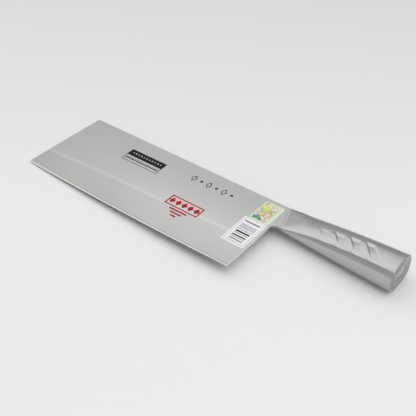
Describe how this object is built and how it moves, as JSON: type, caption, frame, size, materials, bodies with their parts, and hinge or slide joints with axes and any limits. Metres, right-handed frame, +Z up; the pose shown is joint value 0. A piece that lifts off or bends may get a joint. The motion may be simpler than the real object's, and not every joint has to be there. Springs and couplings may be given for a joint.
{
  "type": "kitchen knife",
  "caption": "Broad rectangular kitchen knife with a ground steel blade and a flared hollow steel handle with slanted grip recesses.",
  "frame": {"origin": "middle of the overall box in X and Y, on the surface that the handle lies on", "axes": "+X from tip to butt, +Y from cutting edge to spine, +Z up, square to the blade"},
  "size_m": [0.3134, 0.0909, 0.0248],
  "materials": {
    "blade_steel": "fine satin, polished sharpened bevel",
    "handle_steel": "satin, brushed along the handle",
    "white_paper": "semi-gloss coated paper",
    "printed_foil": "glossy printed label"
  },
  "bodies": {
    "root": {"blade": "blade_steel", "neck_weld": "handle_steel", "handle_upper_shell": "handle_steel", "handle_lower_shell": "handle_steel", "spine_seam_weld": "handle_steel", "belly_seam_weld": "handle_steel", "butt_weld": "handle_steel", "butt_cap": "handle_steel", "striped_label": "white_paper", "coloured_label": "printed_foil"}
  },
  "joints": []
}
